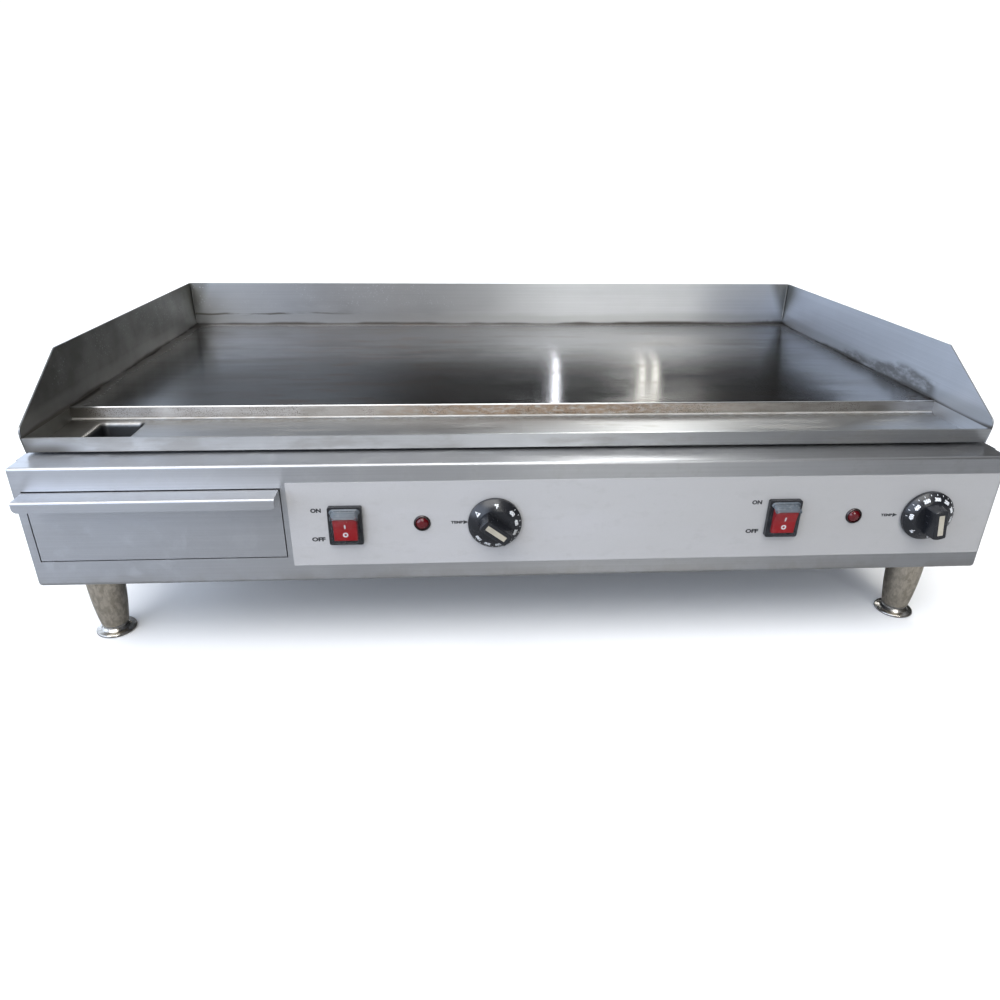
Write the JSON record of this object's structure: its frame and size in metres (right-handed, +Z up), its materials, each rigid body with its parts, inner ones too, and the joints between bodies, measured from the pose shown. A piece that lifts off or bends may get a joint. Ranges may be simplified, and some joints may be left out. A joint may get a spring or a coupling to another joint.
{
  "type": "flat top griddle",
  "caption": "Countertop electric griddle: flat steel plate inside welded splash guards, front grease trough and drawer, rocker switches, lamps and dial knobs, on short legs.",
  "frame": {"origin": "on the worktop under the middle of the whole object", "axes": "+X to the right as the cook sees it, +Y to the back, +Z up"},
  "size_m": [0.904, 0.569, 0.2847],
  "materials": {
    "brushed_stainless": "horizontal brushed satin",
    "splash_stainless": "brushed satin with heat tint",
    "cooking_steel": "polished with fine horizontal brushing",
    "galvanised_steel": "dull galvanised",
    "label_grey": "fine textured film",
    "black_plastic": "semi-gloss moulded",
    "cream_strip": "satin",
    "red_rocker": "translucent gloss",
    "clear_boot": "clear soft plastic",
    "red_lens": "faceted translucent",
    "bright_chrome": "polished",
    "leg_nickel": "warm brushed nickel",
    "heater_sheath": "dark oxidised sheath",
    "zinc_steel": "zinc plated",
    "mineral_wool": "felted",
    "thermostat_case": "dull",
    "copper_tube": "drawn tube",
    "wire_silicone": "matt",
    "gland_plastic": "matt moulded"
  },
  "bodies": {
    "griddle": {"front_panel": "brushed_stainless", "left_side_panel": "brushed_stainless", "right_side_panel": "brushed_stainless", "rear_panel": "brushed_stainless", "base_pan": "galvanised_steel", "control_label": "label_grey", "case_screws": "zinc_steel", "griddle_plate": "cooking_steel", "left_splash_guard": "splash_stainless", "right_splash_guard": "splash_stainless", "back_splash_guard": "splash_stainless", "grease_trough": "brushed_stainless", "drain_chute": "brushed_stainless", "plate_rails": "galvanised_steel", "left_heating_element": "heater_sheath", "right_heating_element": "heater_sheath", "element_clamp_bars": "zinc_steel", "clamp_studs": "zinc_steel", "clamp_nuts": "zinc_steel", "heat_shield": "galvanised_steel", "insulation_blanket": "mineral_wool", "bulb_clips": "zinc_steel", "thermostat_screws": "zinc_steel", "drawer_runners": "galvanised_steel", "drawer_bay": "galvanised_steel", "leg_nuts": "zinc_steel", "cable_gland": "gland_plastic", "bonding_stud": "zinc_steel", "terminal_block": "thermostat_case", "wiring": "wire_silicone", "left_thermostat_body": "thermostat_case", "left_thermostat_capillary": "copper_tube", "left_switch_housing": "black_plastic", "left_switch_boot": "clear_boot", "left_lamp_body": "bright_chrome", "left_lamp_lens": "red_lens", "right_thermostat_body": "thermostat_case", "right_thermostat_capillary": "copper_tube", "right_switch_housing": "black_plastic", "right_switch_boot": "clear_boot", "right_lamp_body": "bright_chrome", "right_lamp_lens": "red_lens", "front_left_leg": "leg_nickel", "front_right_leg": "leg_nickel", "rear_left_leg": "leg_nickel", "rear_right_leg": "leg_nickel"},
    "drawer": {"drawer_front": "brushed_stainless", "drawer_pan": "brushed_stainless"},
    "left_temperature_knob": {"left_knob": "black_plastic", "left_knob_insert": "cream_strip", "left_thermostat_shaft": "zinc_steel"},
    "left_rocker": {"left_switch_rocker": "red_rocker"},
    "right_temperature_knob": {"right_knob": "black_plastic", "right_knob_insert": "cream_strip", "right_thermostat_shaft": "zinc_steel"},
    "right_rocker": {"right_switch_rocker": "red_rocker"},
    "front_left_screw_foot": {"front_left_foot": "bright_chrome"},
    "front_right_screw_foot": {"front_right_foot": "bright_chrome"},
    "rear_left_screw_foot": {"rear_left_foot": "bright_chrome"},
    "rear_right_screw_foot": {"rear_right_foot": "bright_chrome"}
  },
  "joints": [
    {"name": "drawer_slide", "type": "slide", "parent": "griddle", "child": "drawer", "axis": [0, -1, 0], "range_m": [0, 0.285]},
    {"name": "left_knob_turn", "type": "hinge", "parent": "griddle", "child": "left_temperature_knob", "pos_m": [-0.0287, -0.2595, 0.1485], "axis": [0, 1, 0], "range_deg": [-37, 228]},
    {"name": "left_rocker_tilt", "type": "hinge", "parent": "griddle", "child": "left_rocker", "pos_m": [-0.165, -0.2605, 0.1485], "axis": [-1, 0, 0], "range_deg": [0, 20]},
    {"name": "right_knob_turn", "type": "hinge", "parent": "griddle", "child": "right_temperature_knob", "pos_m": [0.3855, -0.2595, 0.1485], "axis": [0, 1, 0], "range_deg": [-261, 4]},
    {"name": "right_rocker_tilt", "type": "hinge", "parent": "griddle", "child": "right_rocker", "pos_m": [0.244, -0.2605, 0.1485], "axis": [-1, 0, 0], "range_deg": [0, 20]},
    {"name": "front_left_foot_screw", "type": "slide", "parent": "griddle", "child": "front_left_screw_foot", "axis": [0, 0, -1], "range_m": [0, 0.02]},
    {"name": "front_right_foot_screw", "type": "slide", "parent": "griddle", "child": "front_right_screw_foot", "axis": [0, 0, -1], "range_m": [0, 0.02]},
    {"name": "rear_left_foot_screw", "type": "slide", "parent": "griddle", "child": "rear_left_screw_foot", "axis": [0, 0, -1], "range_m": [0, 0.02]},
    {"name": "rear_right_foot_screw", "type": "slide", "parent": "griddle", "child": "rear_right_screw_foot", "axis": [0, 0, -1], "range_m": [0, 0.02]}
  ]
}
